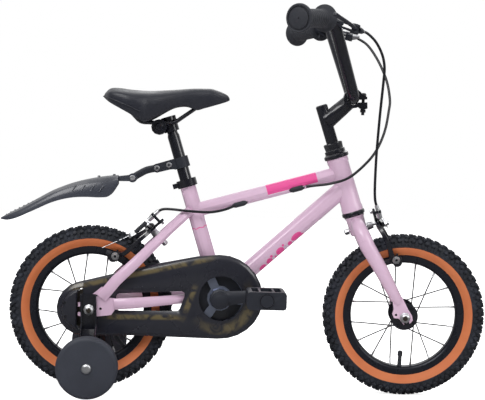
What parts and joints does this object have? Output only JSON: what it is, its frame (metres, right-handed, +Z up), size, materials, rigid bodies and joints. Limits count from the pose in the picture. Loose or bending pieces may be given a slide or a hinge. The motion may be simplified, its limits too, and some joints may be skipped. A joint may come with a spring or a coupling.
{
  "type": "kids bike",
  "caption": "Small child's bicycle with chain case, rim brakes, quill stem, riser bar, rear mudguard and stabiliser wheels.",
  "frame": {"origin": "on the ground, at the middle of the length and the width", "axes": "+X is forward, the way the bicycle rides; +Y is the rider's left, away from the chain; +Z is up"},
  "size_m": [0.8985, 0.4819, 0.7108],
  "materials": {
    "frame_paint": "pale lilac-pink gloss paint",
    "black_paint": "black gloss paint",
    "black_plastic": "satin, fine grain",
    "gloss_plastic": "black gloss",
    "black_rubber": "matt",
    "tyre_rubber": "matt, with an orange side band",
    "saddle_vinyl": "grained vinyl",
    "bright_steel": "bright zinc or chrome plate",
    "grey_steel": "grey zinc plate",
    "chain_steel": "oiled steel",
    "cable_sleeve": "smooth plastic sleeve"
  },
  "bodies": {
    "frame": {"frame": "frame_paint", "cable_grommet_front": "black_rubber", "cable_grommet_rear": "black_rubber", "headset_bottom_cup": "black_paint", "headset_top_cup": "black_paint", "bottom_bracket": "grey_steel", "seat_collar": "black_paint", "chain_case": "gloss_plastic", "chain_case_rear_cover": "black_plastic", "chain": "chain_steel", "rear_axle": "bright_steel", "stabiliser_bracket_right": "black_paint", "stabiliser_bracket_left": "black_paint", "rear_brake_bolt": "bright_steel", "rear_brake_cable": "cable_sleeve"},
    "steering": {"fork": "frame_paint", "headset_lock_nut": "black_paint", "stem": "black_paint", "stem_expander_bolt": "black_paint", "handlebar": "black_paint", "grip_right": "black_rubber", "grip_left": "black_rubber", "brake_bracket_right": "black_plastic", "brake_bracket_left": "black_plastic", "front_brake_cable": "cable_sleeve", "front_brake_bolt": "bright_steel", "front_axle": "bright_steel"},
    "lever_right": {"brake_lever_right": "black_plastic"},
    "lever_left": {"brake_lever_left": "black_plastic"},
    "front_wheel": {"front_hub": "black_paint", "front_rim": "black_paint", "front_tyre": "tyre_rubber"},
    "rear_wheel": {"rear_hub": "black_paint", "rear_rim": "black_paint", "rear_tyre": "tyre_rubber"},
    "freewheel": {"freewheel": "chain_steel"},
    "crank": {"crank_right": "black_plastic", "crank_left": "black_plastic", "crank_spindle": "grey_steel", "chainring": "grey_steel"},
    "pedal_right": {"pedal_right": "black_plastic"},
    "pedal_left": {"pedal_left": "black_plastic"},
    "seatpost": {"seatpost": "black_paint", "saddle_clamp": "black_paint", "mudguard_strap": "black_plastic"},
    "saddle": {"saddle_cover": "saddle_vinyl", "saddle_base": "black_plastic", "saddle_rails": "black_paint"},
    "mudguard_link": {"mudguard_link": "black_plastic"},
    "mudguard_blade": {"mudguard_blade": "black_plastic"},
    "stabiliser_wheel_right": {"stabiliser_wheel_right": "black_plastic"},
    "stabiliser_wheel_left": {"stabiliser_wheel_left": "black_plastic"},
    "front_brake_arm_right": {"front_brake_arm_right": "black_paint", "front_brake_pad_right": "black_rubber"},
    "front_brake_arm_left": {"front_brake_arm_left": "black_paint", "front_brake_pad_left": "black_rubber"},
    "rear_brake_arm_right": {"rear_brake_arm_right": "black_paint", "rear_brake_pad_right": "black_rubber"},
    "rear_brake_arm_left": {"rear_brake_arm_left": "black_paint", "rear_brake_pad_left": "black_rubber"}
  },
  "joints": [
    {"name": "steering", "type": "hinge", "parent": "frame", "child": "steering", "pos_m": [0.19949, 0, 0.3392], "axis": [-0.3183, 0, 0.948], "range_deg": [-44, 50], "deforming": ["rear_brake_cable"]},
    {"name": "front_wheel_spin", "type": "hinge", "parent": "steering", "child": "front_wheel", "pos_m": [0.29911, -0.00249, 0.14997], "axis": [0.0689, 0.9974, 0.0231], "continuous": true},
    {"name": "rear_wheel_spin", "type": "hinge", "parent": "frame", "child": "rear_wheel", "pos_m": [-0.2797, 0, 0.15], "axis": [0, 1, 0], "continuous": true},
    {"name": "crank_spin", "type": "hinge", "parent": "frame", "child": "crank", "pos_m": [-0.04394, 0, 0.175], "axis": [0, 1, 0], "continuous": true, "deforming": ["chain"]},
    {"name": "freewheel_spin", "type": "hinge", "parent": "frame", "child": "freewheel", "pos_m": [-0.2797, 0, 0.15], "axis": [0, 1, 0], "continuous": true},
    {"name": "pedal_right_spin", "type": "hinge", "parent": "crank", "child": "pedal_right", "pos_m": [0.03536, 0, 0.18558], "axis": [0, 1, 0], "continuous": true},
    {"name": "pedal_left_spin", "type": "hinge", "parent": "crank", "child": "pedal_left", "pos_m": [-0.12324, 0, 0.16442], "axis": [0, 1, 0], "continuous": true},
    {"name": "lever_right_squeeze", "type": "hinge", "parent": "steering", "child": "lever_right", "pos_m": [0.17776, -0.12438, 0.66524], "axis": [-0.239, -0.0884, -0.967], "range_deg": [0, 8], "stiffness_Nm_per_rad": 0.8, "springref_deg": -8.59},
    {"name": "lever_left_squeeze", "type": "hinge", "parent": "steering", "child": "lever_left", "pos_m": [0.19403, 0.111, 0.6707], "axis": [0.2215, -0.1649, 0.9611], "range_deg": [0, 8], "stiffness_Nm_per_rad": 0.8, "springref_deg": -8.59},
    {"name": "front_brake_arm_right_swing", "type": "hinge", "parent": "steering", "child": "front_brake_arm_right", "pos_m": [0.24246, -0.00247, 0.31777], "axis": [0.9455, -0.0727, 0.3175], "range_deg": [0, 1]},
    {"name": "front_brake_arm_left_swing", "type": "hinge", "parent": "steering", "child": "front_brake_arm_left", "pos_m": [0.24246, -0.00247, 0.31777], "axis": [0.9455, -0.0727, 0.3175], "range_deg": [-1, 0]},
    {"name": "rear_brake_arm_right_swing", "type": "hinge", "parent": "frame", "child": "rear_brake_arm_right", "pos_m": [-0.17338, 0, 0.29668], "axis": [-0.7071, 0, 0.7071], "range_deg": [-1, 0]},
    {"name": "rear_brake_arm_left_swing", "type": "hinge", "parent": "frame", "child": "rear_brake_arm_left", "pos_m": [-0.17338, 0, 0.29668], "axis": [-0.7071, 0, 0.7071], "range_deg": [0, 1]},
    {"name": "seatpost_slide", "type": "slide", "parent": "frame", "child": "seatpost", "axis": [-0.3024, 0, 0.9532], "range_m": [-0.01, 0.06]},
    {"name": "saddle_tilt", "type": "hinge", "parent": "seatpost", "child": "saddle", "pos_m": [-0.16335, 0, 0.48364], "axis": [0, 1, 0], "range_deg": [-10, 10]},
    {"name": "mudguard_link_tilt", "type": "hinge", "parent": "seatpost", "child": "mudguard_link", "pos_m": [-0.1654, 0, 0.4081], "axis": [0, 1, 0], "range_deg": [-6, 15]},
    {"name": "mudguard_blade_tilt", "type": "hinge", "parent": "mudguard_link", "child": "mudguard_blade", "pos_m": [-0.2098, 0, 0.3889], "axis": [0, 1, 0], "range_deg": [-8, 12]},
    {"name": "stabiliser_wheel_right_spin", "type": "hinge", "parent": "frame", "child": "stabiliser_wheel_right", "pos_m": [-0.2731, -0.175, 0.0636], "axis": [0, 1, 0], "continuous": true},
    {"name": "stabiliser_wheel_left_spin", "type": "hinge", "parent": "frame", "child": "stabiliser_wheel_left", "pos_m": [-0.2731, 0.175, 0.0636], "axis": [0, 1, 0], "continuous": true}
  ],
  "couplings": [
    {"joint": "freewheel_spin", "follows": "crank_spin", "ratio": 1.6471},
    {"joint": "front_brake_arm_right_swing", "follows": "lever_right_squeeze", "ratio": 0.125},
    {"joint": "front_brake_arm_left_swing", "follows": "lever_right_squeeze", "ratio": -0.125},
    {"joint": "rear_brake_arm_right_swing", "follows": "lever_left_squeeze", "ratio": -0.125},
    {"joint": "rear_brake_arm_left_swing", "follows": "lever_left_squeeze", "ratio": 0.125}
  ]
}
